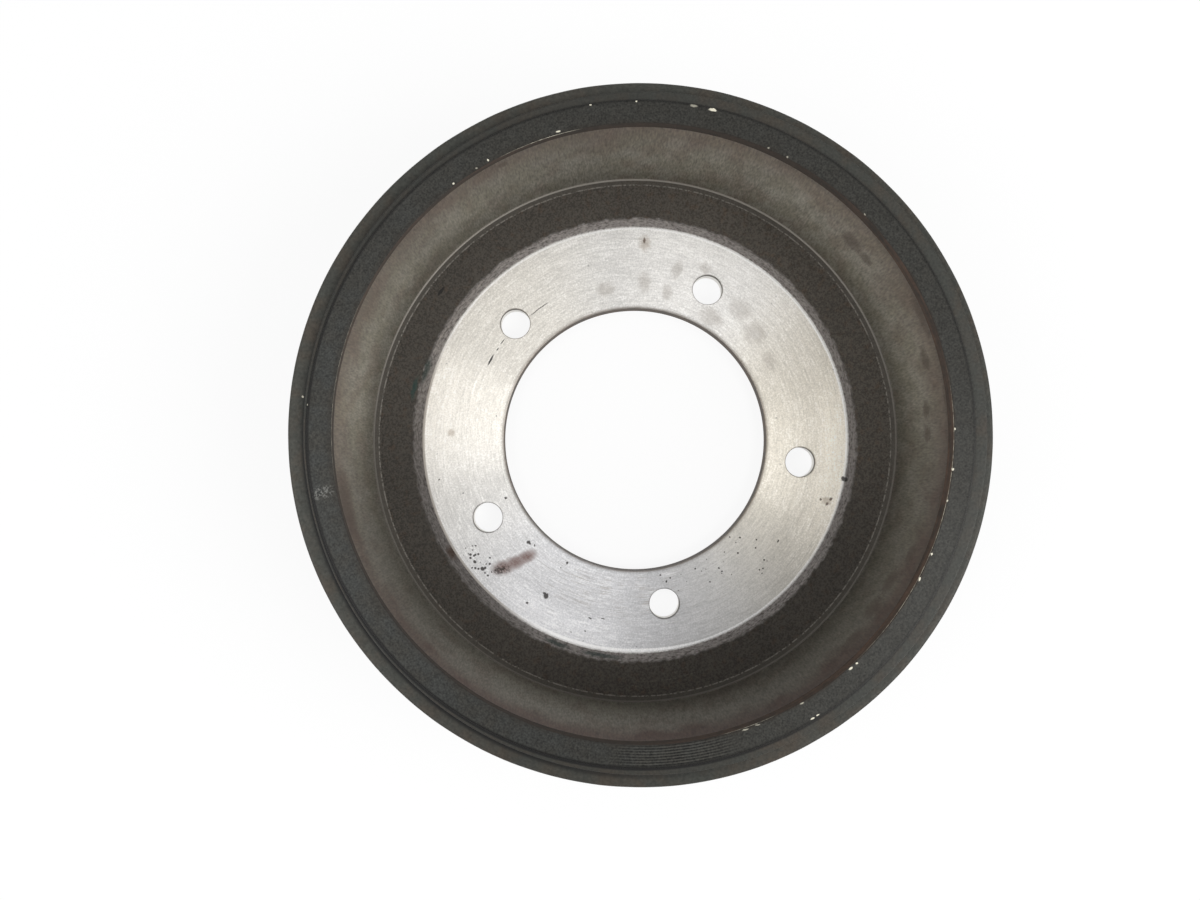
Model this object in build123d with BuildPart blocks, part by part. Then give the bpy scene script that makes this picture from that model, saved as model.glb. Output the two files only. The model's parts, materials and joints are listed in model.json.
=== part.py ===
from build123d import *
from math import cos, isclose, radians, sin, tan
import os

# Brake drum: one grey iron casting, turned where it meets the hub, the wheel and the shoes.
# It lies on its wheel seat, open side up. The origin is the middle of the bore on that seat,
# and +Z is the drum's axis. All sizes are in millimetres.

# Heights up the axis
web = 8.5                    # plate between the wheel seat and the hub seat
shoe_room = 71.5             # hub seat to lip
hub_boss = 2.0               # hub seat above the cast floor
wheel_boss = 1.2             # wheel seat proud of the cast ring around it
land_drop = 1.2              # lip to the cast land around it
flange_drop = 5.5            # lip to the face of the outer flange
flange_thickness = 8.0

# Turned sizes
friction_diameter = 220.0
lead_in_width = 0.9          # tapered mouth of the friction wall
lead_in_depth = 2.4
track_ledge = 0.4            # ledge left by the tool at the foot of the friction wall
lip_width = 9.1              # friction wall to the outside of the lip
hub_seat_diameter = 178.0
wheel_seat_diameter = 172.0
bore_diameter = 110.0

# Cast sizes
corner_width = 2.1           # sloping corner between the ledge and the floor
corner_height = 1.1
shoulder_width = 4.5         # slope from the hub seat down to the floor
wall_thickness = 7.5         # at the flange
wall_draft = 2.0             # degrees, narrowing the wall towards the web
land_width = 3.1             # outside of the lip to the land's rim
land_shift = 1.6             # the mould's halves stand this far out of line, so the land is off centre
land_shift_angle = 23.0
flange_width = 5.3           # land's rim, were it on centre, to the flange's rim

# Corners: the web's is a radius, the others are bevels
web_corner = 7.0
flange_root = 3.0
flange_edge = 1.0
bore_edge = 0.4
edge_break = 0.3

# Studs
stud_count = 5
stud_circle_diameter = 139.7
stud_hole_diameter = 12.5

bore_radius = bore_diameter / 2
friction_radius = friction_diameter / 2
lip_radius = friction_radius + lip_width
land_radius = lip_radius + land_width
flange_radius = land_radius + flange_width
hub_seat_radius = hub_seat_diameter / 2
wheel_seat_radius = wheel_seat_diameter / 2
ledge_radius = friction_radius - track_ledge

lip_height = web + shoe_room
floor_height = web - hub_boss
ledge_height = floor_height + corner_height
land_height = lip_height - land_drop
flange_top = lip_height - flange_drop
flange_bottom = flange_top - flange_thickness

wall_top_radius = friction_radius + wall_thickness
wall_foot_radius = wall_top_radius - (flange_bottom - wheel_boss) * tan(radians(wall_draft))


def rims(radius):
    circles = brake_drum.edges().filter_by(GeomType.CIRCLE)
    return circles.filter_by(lambda rim: isclose(rim.radius, radius, rel_tol=1e-6)).sort_by(Axis.Z)


with BuildPart() as brake_drum:
    # The casting's outside, turned about the axis: wheel seat, cast ring, wall, flange and lip
    with BuildSketch(Plane.XZ) as outside:
        with BuildLine():
            Polyline(
                (0, 0),
                (wheel_seat_radius, 0),
                (wheel_seat_radius + wheel_boss, wheel_boss),
                (wall_foot_radius, wheel_boss),
                (wall_top_radius, flange_bottom),
                (flange_radius, flange_bottom),
                (flange_radius, flange_top),
                (lip_radius, flange_top),
                (lip_radius, lip_height),
                (0, lip_height),
                close=True,
            )
        make_face()
    revolve(axis=Axis.Z)
    fillet(rims(wall_foot_radius)[0], web_corner)
    chamfer(rims(wall_top_radius)[0], flange_root)
    chamfer(rims(flange_radius), flange_edge)
    chamfer(rims(lip_radius)[-1], edge_break)

    # The land between the lip and the flange, off centre as it was cast
    with BuildSketch(Plane.XY.offset(flange_top - flange_edge)):
        with Locations((land_shift * cos(radians(land_shift_angle)),
                        land_shift * sin(radians(land_shift_angle)))):
            Circle(land_radius)
    extrude(amount=land_height - flange_top + flange_edge)
    chamfer(rims(land_radius)[-1], edge_break)

    # The hollow: tapered mouth, friction wall, ledge, cast corner, floor, shoulder and hub seat
    with BuildSketch(Plane.XZ) as hollow:
        with BuildLine():
            Polyline(
                (0, web),
                (hub_seat_radius, web),
                (hub_seat_radius + shoulder_width, floor_height),
                (ledge_radius - corner_width, floor_height),
                (ledge_radius, ledge_height),
                (friction_radius, ledge_height),
                (friction_radius, lip_height - lead_in_depth),
                (friction_radius + lead_in_width, lip_height),
                (0, lip_height),
                close=True,
            )
        make_face()
    revolve(axis=Axis.Z, mode=Mode.SUBTRACT)

    # Centre bore and stud holes
    with Locations((0, 0, web)):
        Hole(bore_radius)
        with PolarLocations(stud_circle_diameter / 2, stud_count):
            Hole(stud_hole_diameter / 2)
    chamfer(rims(bore_radius), bore_edge)
    chamfer(rims(stud_hole_diameter / 2), edge_break)

brake_drum.part.label = "brake_drum"

os.makedirs("parts", exist_ok=True)
export_step(brake_drum.part, "parts/brake_drum.step")

size = brake_drum.part.bounding_box().size
print(f"brake_drum {size.X:.1f} x {size.Y:.1f} x {size.Z:.1f} mm, {brake_drum.part.volume / 1000:.0f} cm3")
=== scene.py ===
import json
from math import cos, pi, radians, sin, tan
from types import SimpleNamespace

import bmesh
import bpy
from mathutils import Euler, Matrix, Vector


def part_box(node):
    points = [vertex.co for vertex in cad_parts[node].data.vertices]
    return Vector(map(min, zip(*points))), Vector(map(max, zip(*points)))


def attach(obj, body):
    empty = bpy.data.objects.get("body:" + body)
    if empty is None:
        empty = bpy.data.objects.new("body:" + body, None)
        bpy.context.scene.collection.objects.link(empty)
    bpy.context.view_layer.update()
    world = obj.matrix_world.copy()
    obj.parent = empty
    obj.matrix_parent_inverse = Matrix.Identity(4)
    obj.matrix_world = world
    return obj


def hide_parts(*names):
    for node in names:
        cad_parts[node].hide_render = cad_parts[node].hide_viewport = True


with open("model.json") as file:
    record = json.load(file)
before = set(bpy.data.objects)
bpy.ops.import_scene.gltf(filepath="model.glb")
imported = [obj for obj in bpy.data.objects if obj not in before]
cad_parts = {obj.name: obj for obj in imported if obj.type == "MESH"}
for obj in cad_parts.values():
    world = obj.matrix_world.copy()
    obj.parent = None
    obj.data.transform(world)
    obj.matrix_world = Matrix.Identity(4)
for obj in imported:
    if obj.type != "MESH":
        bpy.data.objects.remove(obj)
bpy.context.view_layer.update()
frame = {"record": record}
mm = 0.001
noiseMean = 0.5
mounts = {mount["name"]: mount for mount in frame["record"]["mounts"]}
print("frame loaded")


class Wire:
    # an output socket that does sums: each operator adds its Math node
    tree = None

    def __init__(self, socket):
        self.socket = socket

    @classmethod
    def node(cls, kind, settings=None, sockets=None, out=0):
        # any node: its settings first, then the values or links of its sockets
        made = cls.tree.nodes.new(kind)
        for name, value in (settings or {}).items():
            setattr(made, name, value)
        for name, value in (sockets or {}).items():
            if isinstance(value, Wire):
                cls.tree.links.new(value.socket, made.inputs[name])
            else:
                made.inputs[name].default_value = value
        return None if out is None else cls(made.outputs[out])

    def sum(self, operation, *values):
        return Wire.node("ShaderNodeMath", {"operation": operation}, dict(enumerate(values)))

    def __add__(self, other):
        return self.sum("ADD", self, other)

    def __sub__(self, other):
        return self.sum("SUBTRACT", self, other)

    def __rsub__(self, other):
        return self.sum("SUBTRACT", other, self)

    def __mul__(self, other):
        return self.sum("MULTIPLY", self, other)

    def __truediv__(self, other):
        return self.sum("DIVIDE", self, other)

    def __rtruediv__(self, other):
        return self.sum("DIVIDE", other, self)

    __radd__ = __add__
    __rmul__ = __mul__

    def most(self, other):
        return self.sum("MAXIMUM", self, other)

    def least(self, other):
        return self.sum("MINIMUM", self, other)

    def part(self, name):
        # one of the outputs of this wire's node, by name
        return Wire(self.socket.node.outputs[name])


def vector(operation, *values, out=0, **sockets):
    return Wire.node("ShaderNodeVectorMath", {"operation": operation},
                     {**dict(enumerate(values)), **sockets}, out)


def rise(value, edge, soft):
    # 0 below the edge and 1 above it, with a soft step
    return Wire.node("ShaderNodeMapRange", {"interpolation_type": "SMOOTHSTEP"},
                     {"Value": value, "From Min": edge - soft / 2, "From Max": edge + soft / 2})


def placed(name, data):
    made = bpy.data.objects.new(name, data)
    bpy.context.scene.collection.objects.link(made)
    return made


def startNodes(owner):
    owner.use_nodes = True
    Wire.tree = owner.node_tree
    Wire.tree.nodes.clear()


drum = {
    "turns": 540,  # facets round the drum
    "cornerSteps": 2,  # facets of a rounding, besides one for each millimetre
    "crease": 32,  # degrees between two faces that meet in a sharp edge
    "hold": 0.25 * mm,  # plain strip kept beside each rounding
    "merge": 0.001 * mm,  # points nearer than this are one
    "sweep": 20 * mm,  # radius of the circle that the outline is swept round
    "web": mounts["hub_seat"]["pos_m"][2],
    "lip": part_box("brake_drum")[1].z,
    "floor": 6.5 * mm,
    "castRing": 1.2 * mm,
    "landDrop": 1.2 * mm,
    "flangeDrop": 5.5 * mm,
    "flange": 8.0 * mm,
    "bore": mounts["centre_bore"]["dims"]["r_mm"] * mm,
    "boreEdge": 0.4 * mm,
    "wheelSeat": 86 * mm,
    "hubSeat": 89 * mm,
    "shoulder": 4.5 * mm,
    "friction": 110 * mm,
    "leadInWidth": 0.9 * mm,
    "leadInDepth": 2.4 * mm,
    "leadInShift": 0.6 * mm,  # the mouth is worn wider on one side
    "leadInAngle": 8,
    "ledge": 0.4 * mm,
    "cornerWidth": 2.1 * mm,
    "cornerHeight": 1.1 * mm,
    "lipWidth": 9.1 * mm,
    "landWidth": 3.1 * mm,
    "flangeWidth": 5.3 * mm,
    "wall": 7.5 * mm,
    "draft": 2.0,
    "landShift": 1.6 * mm,
    "landAngle": 23,
    "ripple": 0.12 * mm,  # waviness of the cast skin
    "rippleSize": 16 * mm,
    "rippleDetail": 3.0,
    "landRipple": 0.5,  # share of the ripple on the land
    "studs": mounts["stud_holes"]["dims"]["count"],
    "studCircle": mounts["stud_holes"]["dims"]["pcd_mm"] * mm / 2,
    "studHole": mounts["stud_holes"]["dims"]["hole_r_mm"] * mm,
    "studEdge": 0.3 * mm,
    "studFacets": 72,
    "studTurn": 0.02,  # radians, so that no facet of a hole lines up with one of the drum
}

corners = {
    # once round the half section: rounding, and how far apart the points of the next run are, in millimetres
    "wheelSeatInside": (0.1, 8),
    "wheelSeatOutside": (0.3, 1),
    "castRing": (1.0, 2.5),
    "wallFoot": (7, 3.5),
    "wallTop": (4, 2),
    "flangeFoot": (1.6, 2),
    "flangeTop": (1.4, 1.5),
    "landFoot": (0.7, 1),
    "landTop": (0.5, 1),
    "lipFoot": (0.25, 1),
    "lipTop": (0.35, 2),
    "mouthTop": (0.2, 1),
    "mouthFoot": (0.3, 6),
    "ledgeOutside": (0.15, 1),
    "ledgeInside": (0.1, 1),
    "cornerFoot": (1.1, 2),
    "shoulderFoot": (1.5, 1),
    "hubSeatOutside": (0.3, 4),
    "hubSeatInside": (0.1, 1),
    "boreTop": (0.1, 3),
    "boreFoot": (0.1, 1),
}

near = {
    "landStart": 0.4 * mm,  # outside the lip, where the land starts to shift
    "landFull": 1 * mm,  # inside the land's rim
    "landPast": 0.8 * mm,  # outside the land's rim
    "landEnd": 1.6 * mm,  # inside the flange's rim
    "rimDepth": 0.1 * mm,  # under the flange's face
    "mouthStart": 4 * mm,  # outside the mouth, where it starts to shift
    "mouthFull": 0.5 * mm,
    "mouthTop": 0.2 * mm,
    "skinStart": 3 * mm,  # outside the wheel seat, where it starts to ripple
    "skinFull": 6 * mm,
    "skinTop": 0.5 * mm,  # above and below the flange's face
    "skinWall": 1.5 * mm,  # to either side of the friction wall
    "landSkinStart": 0.3 * mm,  # outside the lip
    "landSkinFull": 1 * mm,
    "landSkinOver": 0.6 * mm,  # above the land
    "landSkinUnder": 0.1 * mm,
    "hair": 0.03 * mm,  # slack of a zone's border
    "floorUnder": 2 * mm,  # height above which the hollow starts
    "seatPast": 0.2 * mm,  # outside the hub seat
    "holeReach": 3 * mm,  # inside the hub seat's rim
    "trackPast": 0.1 * mm,  # outside the friction wall, and under the mouth
    "mouthInside": 1 * mm,
    "mouthOutside": 1.1 * mm,
    "lipUnder": 0.12 * mm,
    "lipInside": 2 * mm,
    "lipOutside": 0.3 * mm,
    "lipOver": 0.1 * mm,  # above the land
    "far": 1,  # beyond any part of the drum
}


def outlineCorners(size):
    # radius, height, rounding and spacing of each corner
    size = SimpleNamespace(**size)
    lip = size.lip
    flangeTop = lip - size.flangeDrop
    flangeFoot = flangeTop - size.flange
    landTop = lip - size.landDrop
    ledge = size.floor + size.cornerHeight
    ledgeEdge = size.friction - size.ledge
    lipEdge = size.friction + size.lipWidth
    landEdge = lipEdge + size.landWidth
    flangeEdge = landEdge + size.flangeWidth
    wallTop = size.friction + size.wall
    wallFoot = wallTop - (flangeFoot - size.castRing) * tan(radians(size.draft))
    edge = size.boreEdge
    places = [
        (size.bore + edge, 0),
        (size.wheelSeat, 0),
        (size.wheelSeat + size.castRing, size.castRing),
        (wallFoot, size.castRing),
        (wallTop, flangeFoot),
        (flangeEdge, flangeFoot),
        (flangeEdge, flangeTop),
        (landEdge, flangeTop),
        (landEdge, landTop),
        (lipEdge, landTop),
        (lipEdge, lip),
        (size.friction + size.leadInWidth, lip),
        (size.friction, lip - size.leadInDepth),
        (size.friction, ledge),
        (ledgeEdge, ledge),
        (ledgeEdge - size.cornerWidth, size.floor),
        (size.hubSeat + size.shoulder, size.floor),
        (size.hubSeat, size.web),
        (size.bore + edge, size.web),
        (size.bore, size.web - edge),
        (size.bore, edge),
    ]
    return [(*place, rounding * mm, apart * mm) for place, (rounding, apart) in zip(places, corners.values())]


def outlineCurve(outline, sweep, hold):
    # a closed curve through the corners, with points beside each rounding so that flat faces stay flat
    points = []
    for corner, following in zip(outline, outline[1:] + outline[:1]):
        start, end = Vector(corner[:2]), Vector(following[:2])
        rounding, spacing = corner[2:]
        points.append((*start, rounding))
        along = (end - start).normalized()
        room = (end - start).length - rounding - following[2] - 2 * hold
        if room > 0:
            count = max(1, round(room / spacing))
            for step in range(count + 1):
                points.append((*(start + along * (rounding + hold + room * step / count)), 0))
    curve = bpy.data.curves.new("outline", "CURVE")
    curve.dimensions = "3D"
    spline = curve.splines.new("POLY")
    spline.points.add(len(points) - 1)
    for point, (radius, height, rounding) in zip(spline.points, points):
        point.co = (radius - sweep, -height, 0, 1)
        point.radius = rounding
    spline.use_cyclic_u = True
    return curve


def turningTree(size, finishes):
    # sweeps an outline round the axis, moves the cast land off centre, ripples the cast skin, drills the
    # stud holes and gives each zone its finish
    tree = bpy.data.node_groups.new("turning", "GeometryNodeTree")
    Wire.tree = tree
    tree.interface.new_socket("Geometry", in_out="INPUT", socket_type="NodeSocketGeometry")
    numbers = ["turns", "studs"]
    lengths = ["sweep", "web", "lip", "friction", "leadInWidth", "leadInDepth", "leadInShift", "leadInAngle",
               "lipWidth", "landWidth", "flangeWidth", "flangeDrop", "landDrop", "landShift", "landAngle",
               "wheelSeat", "floor", "cornerHeight", "boreEdge", "hubSeat", "ripple", "rippleSize",
               "studCircle", "studHole", "studEdge"]
    for name in numbers:
        tree.interface.new_socket(name, in_out="INPUT", socket_type="NodeSocketInt")
    for name in lengths:
        tree.interface.new_socket(name, in_out="INPUT", socket_type="NodeSocketFloat")
    tree.interface.new_socket("Geometry", in_out="OUTPUT", socket_type="NodeSocketGeometry")
    given = Wire.node("NodeGroupInput")
    outline = given.part("Geometry")
    value = SimpleNamespace(**{name: given.part(name) for name in numbers + lengths})
    gap = SimpleNamespace(**near)

    # the outline's corners are rounded by the radius that each point carries
    rounding = Wire.node("GeometryNodeInputRadius")
    steps = rounding / mm + size["cornerSteps"]
    rounded = Wire.node("GeometryNodeFilletCurve", {"mode": "POLY"},
                        {"Curve": outline, "Count": steps, "Radius": rounding})
    circle = Wire.node("GeometryNodeCurvePrimitiveCircle", {},
                       {"Resolution": value.turns, "Radius": value.sweep})
    shell = Wire.node("GeometryNodeCurveToMesh", {}, {"Curve": circle, "Profile Curve": rounded})

    place = Wire.node("GeometryNodeInputPosition")
    split = Wire.node("ShaderNodeSeparateXYZ", {}, {0: place})
    height = split.part("Z")
    radius = vector("LENGTH", vector("MULTIPLY", place, (1, 1, 0)), out="Value")

    def toward(angle, length):
        # a vector of that length at that angle round the drum
        turned = angle.sum("RADIANS", angle)
        ahead = turned.sum("COSINE", turned)
        aside = turned.sum("SINE", turned)
        return vector("SCALE", Wire.node("ShaderNodeCombineXYZ", {}, {0: ahead, 1: aside}), Scale=length)

    def slope(number, zero, one):
        # from 0 to 1 between two numbers
        return Wire.node("ShaderNodeMapRange", {}, {"Value": number, "From Min": zero, "From Max": one})

    lipEdge = value.friction + value.lipWidth
    landEdge = lipEdge + value.landWidth
    flangeEdge = landEdge + value.flangeWidth
    flangeTop = value.lip - value.flangeDrop
    onRim = height.sum("GREATER_THAN", height, flangeTop - gap.rimDepth)
    landShare = (slope(radius, lipEdge + gap.landStart, landEdge - gap.landFull)
                 * slope(radius, flangeEdge - gap.landEnd, landEdge + gap.landPast) * onRim)
    mouth = value.friction + value.leadInWidth
    mouthFoot = value.lip - value.leadInDepth
    mouthShare = (slope(radius, mouth + gap.mouthStart, mouth + gap.mouthFull)
                  * slope(height, mouthFoot, value.lip - gap.mouthTop))
    moved = vector("ADD", toward(value.landAngle, value.landShift * landShare),
                   toward(value.leadInAngle, value.leadInShift * mouthShare))
    shell = Wire.node("GeometryNodeSetPosition", {}, {"Geometry": shell, "Offset": moved})

    # the cast skin ripples on the outside and on the floor, but not where it was turned
    outside = (slope(radius, value.wheelSeat + gap.skinStart, value.wheelSeat + gap.skinFull)
               * slope(height, flangeTop + gap.skinTop, flangeTop - gap.skinTop)
               * (1 - radius.sum("COMPARE", radius, value.friction, gap.skinWall)))
    landTop = value.lip - value.landDrop
    landSkin = (slope(radius, lipEdge + gap.landSkinStart, lipEdge + gap.landSkinFull)
                * slope(height, landTop + gap.landSkinOver, landTop + gap.landSkinUnder) * onRim)
    swell = Wire.node("ShaderNodeTexNoise", {}, {
        "Vector": place, "Scale": 1 / value.rippleSize, "Detail": size["rippleDetail"]})
    ripple = (swell - noiseMean) * value.ripple * 2 * outside.most(landSkin * size["landRipple"])
    normal = Wire.node("GeometryNodeInputNormal")
    shell = Wire.node("GeometryNodeSetPosition", {},
                      {"Geometry": shell, "Offset": vector("SCALE", normal, Scale=ripple)})

    # one drill for each stud hole; the rings at its ends are widened and the two between, which a cylinder
    # of three segments has a sixth of its length from its middle, are moved beside them
    segments = 3
    edge = value.studEdge
    depth = value.web + edge * 2
    drill = Wire.node("GeometryNodeMeshCylinder", {}, {
        "Vertices": size["studFacets"], "Side Segments": segments, "Radius": value.studHole, "Depth": depth})
    outer = height.sum("GREATER_THAN", height.sum("ABSOLUTE", height), depth / (segments + 1))
    widen = 1 + outer * edge * 2 / value.studHole
    lengthen = outer + (1 - outer) * (value.web / 2 - edge) / (depth / (segments * 2))
    spread = Wire.node("ShaderNodeCombineXYZ", {}, {0: widen, 1: widen, 2: lengthen})
    flared = vector("MULTIPLY", place, spread)
    drill = Wire.node("GeometryNodeSetPosition", {}, {"Geometry": drill, "Position": flared})
    spots = Wire.node("GeometryNodeMeshCircle", {}, {"Vertices": value.studs, "Radius": value.studCircle})
    lift = Wire.node("ShaderNodeCombineXYZ", {}, {2: value.web / 2})
    spots = Wire.node("GeometryNodeSetPosition", {}, {"Geometry": spots, "Offset": lift})
    drills = Wire.node("GeometryNodeInstanceOnPoints", {}, {
        "Points": spots, "Instance": drill, "Rotation": (0, 0, size["studTurn"])})
    drills = Wire.node("GeometryNodeRealizeInstances", {}, {"Geometry": drills})
    shell = Wire.node("GeometryNodeMeshBoolean", {"operation": "DIFFERENCE", "solver": "EXACT"},
                      {"Mesh 1": shell, "Mesh 2": drills})

    # smooth faces, with creases where they meet at more than a slight angle
    bend = Wire.node("GeometryNodeInputMeshEdgeAngle")
    shell = Wire.node("GeometryNodeSetShadeSmooth", {"domain": "FACE"},
                      {"Geometry": shell, "Shade Smooth": True})
    sharp = bend.sum("GREATER_THAN", bend, radians(size["crease"]))
    shell = Wire.node("GeometryNodeSetShadeSmooth", {"domain": "EDGE"},
                      {"Geometry": shell, "Selection": sharp, "Shade Smooth": False})
    shell = Wire.node("GeometryNodeRealizeInstances", {}, {"Geometry": shell})

    # zones by the place of a face's middle; a later one covers an earlier one
    def between(number, low, high):
        return number.sum("GREATER_THAN", number, low) * number.sum("LESS_THAN", number, high)

    hair = gap.hair
    ledgeTop = value.floor + value.cornerHeight
    mouthBorder = mouthFoot - gap.trackPast
    boreTop = value.web - value.boreEdge
    reach = {
        "cast": radius + gap.far,
        "wheelSeat": between(height, -hair, value.boreEdge) * between(radius, 0, value.wheelSeat),
        "floor": (between(radius, value.hubSeat - hair, value.friction - hair)
                  * between(height, gap.floorUnder, value.web + hair)),
        "seat": (between(radius, 0, value.hubSeat + gap.seatPast)
                 * between(height, boreTop, gap.far)),
        "bore": (between(radius, 0, value.hubSeat - gap.holeReach)
                 * between(height, value.boreEdge, boreTop)),
        "track": (between(radius, value.friction - hair, value.friction + gap.trackPast)
                  * between(height, ledgeTop + hair, mouthBorder)),
        "mouth": (between(radius, value.friction - gap.mouthInside, mouth + gap.mouthOutside)
                  * between(height, mouthBorder, gap.far)),
        "lip": between(height, value.lip - gap.lipUnder, gap.far).most(
            between(radius, lipEdge - gap.lipInside, lipEdge + gap.lipOutside)
            * between(height, landTop + gap.lipOver, gap.far)),
    }
    for name, share in reach.items():
        shell = Wire.node("GeometryNodeSetMaterial", {}, {
            "Geometry": shell, "Selection": share, "Material": finishes[name]})
    Wire.node("NodeGroupOutput", {}, {"Geometry": shell}, out=None)
    return tree


def turnedDrum(size, finishes):
    # the whole casting as one plain mesh
    curve = outlineCurve(outlineCorners(size), size["sweep"], size["hold"])
    blank = placed("blank", curve)
    tree = turningTree(size, finishes)
    modifier = blank.modifiers.new("turning", "NODES")
    modifier.node_group = tree
    for item in tree.interface.items_tree:
        if item.in_out == "INPUT" and item.name in size:
            modifier[item.identifier] = size[item.name]
    graph = bpy.context.evaluated_depsgraph_get()
    mesh = bpy.data.meshes.new_from_object(blank.evaluated_get(graph), depsgraph=graph)
    bpy.data.objects.remove(blank)
    shape = bmesh.new()
    shape.from_mesh(mesh)
    bmesh.ops.remove_doubles(shape, verts=shape.verts, dist=size["merge"])
    bmesh.ops.recalc_face_normals(shape, faces=shape.faces)
    loose = sum(1 for edge in shape.edges if not edge.is_manifold)
    shape.to_mesh(mesh)
    shape.free()
    mesh.name = "drum_shell"
    print("drum turned:", len(mesh.vertices), "points,", len(mesh.polygons), "faces,", loose, "open edges")
    return placed("drum_shell", mesh)


iron = {
    "anisotropic": {"seat": 0.35, "other": 0.6},
    "acrossMarks": 0.25,  # a quarter turn, so that light spreads across the turning marks
    "raggedness": 1.1,  # how far a mark's rim wanders, in millimetres
    # colours as a screen shows them, 0 to 255
    "cast": (56, 57, 52),
    "castWarm": (62, 57, 49),
    "deep": (15, 14, 13),  # painted shade in the corners of the rim, and dark stains on the floor
    "rust": (81, 57, 41),
    "lip": (51, 50, 46),
    "lipCold": (50, 51, 49),
    "lipGlint": (122, 122, 118),
    "mouth": (42, 36, 30),
    "mouthRust": (76, 58, 46),
    "trackTop": (96, 89, 79),
    "trackFoot": (114, 111, 102),
    "trackRust": (80, 65, 57),
    "trackMoss": (84, 80, 62),
    "trackStain": (64, 51, 41),
    "foot": (67, 63, 56),
    "floor": (75, 70, 63),
    "floorGrain": (40, 36, 31),
    "floorRust": (78, 62, 48),
    "shoulder": (178, 172, 169),
    "line": (150, 145, 137),
    "seat": (212, 210, 206),
    "seatWarm": (215, 208, 193),
    "seatCold": (208, 208, 210),
    "glint": (255, 254, 252),
    "bore": (71, 65, 56),
    "boreRust": (100, 78, 58),
    "boreFoot": (235, 233, 228),
    "chip": (214, 209, 190),
    "stain": (84, 64, 50),
    "halo": (148, 128, 106),
    "smear": (104, 66, 54),
    "pit": (43, 37, 34),
    "smudge": (156, 148, 139),
    "ink": (20, 17, 18),
    "teal": (27, 60, 55),
    "chalk": (112, 108, 99),
}

patterns = {
    # size in millimetres, detail, seed, and how many times taller than wide where it isn't round
    "tremble": (1.5, 3, 11),
    "wander": (1.5, 3, 12),
    "grit": (0.9, 2, 14),
    "grain": (0.95, 2, 1),
    "lump": (3.2, 2, 3),
    "cloud": (22, 3, 7),
    "haze": (9, 3, 27),
    "sand": (0.7, 3, 8),
    "sparkle": (0.62, 2, 5),
    "blotch": (11, 4, 19),
    "scuff": (0.8, 2, 43),
    "fray": (2.5, 3, 13),
    "lipGrit": (0.65, 1, 14),
    "trackGrit": (0.6, 1, 14, 6),
    "trackHaze": (8, 3, 27, 2),
    "trackBlotch": (10, 4, 19, 2),
}

turning = {
    # length round the drum and width across it in millimetres, detail, seed
    "seatMark": (4, 0.4, 3, 2),
    "seatBrush": (7, 0.8, 2, 71),
    "seatRing": (160, 1.3, 3, 31),
    "hair": (13, 0.28, 1, 61),
    "brush": (2, 0.6, 3, 9),
    "dash": (1.3, 3, 2, 21),
    "trackMark": (60, 0.6, 2, 4),
    "wipe": (7, 60, 2, 17),
    "lipMark": (40, 0.5, 2, 1),
    "mouthMark": (16, 1.5, 2, 6),
}

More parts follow.
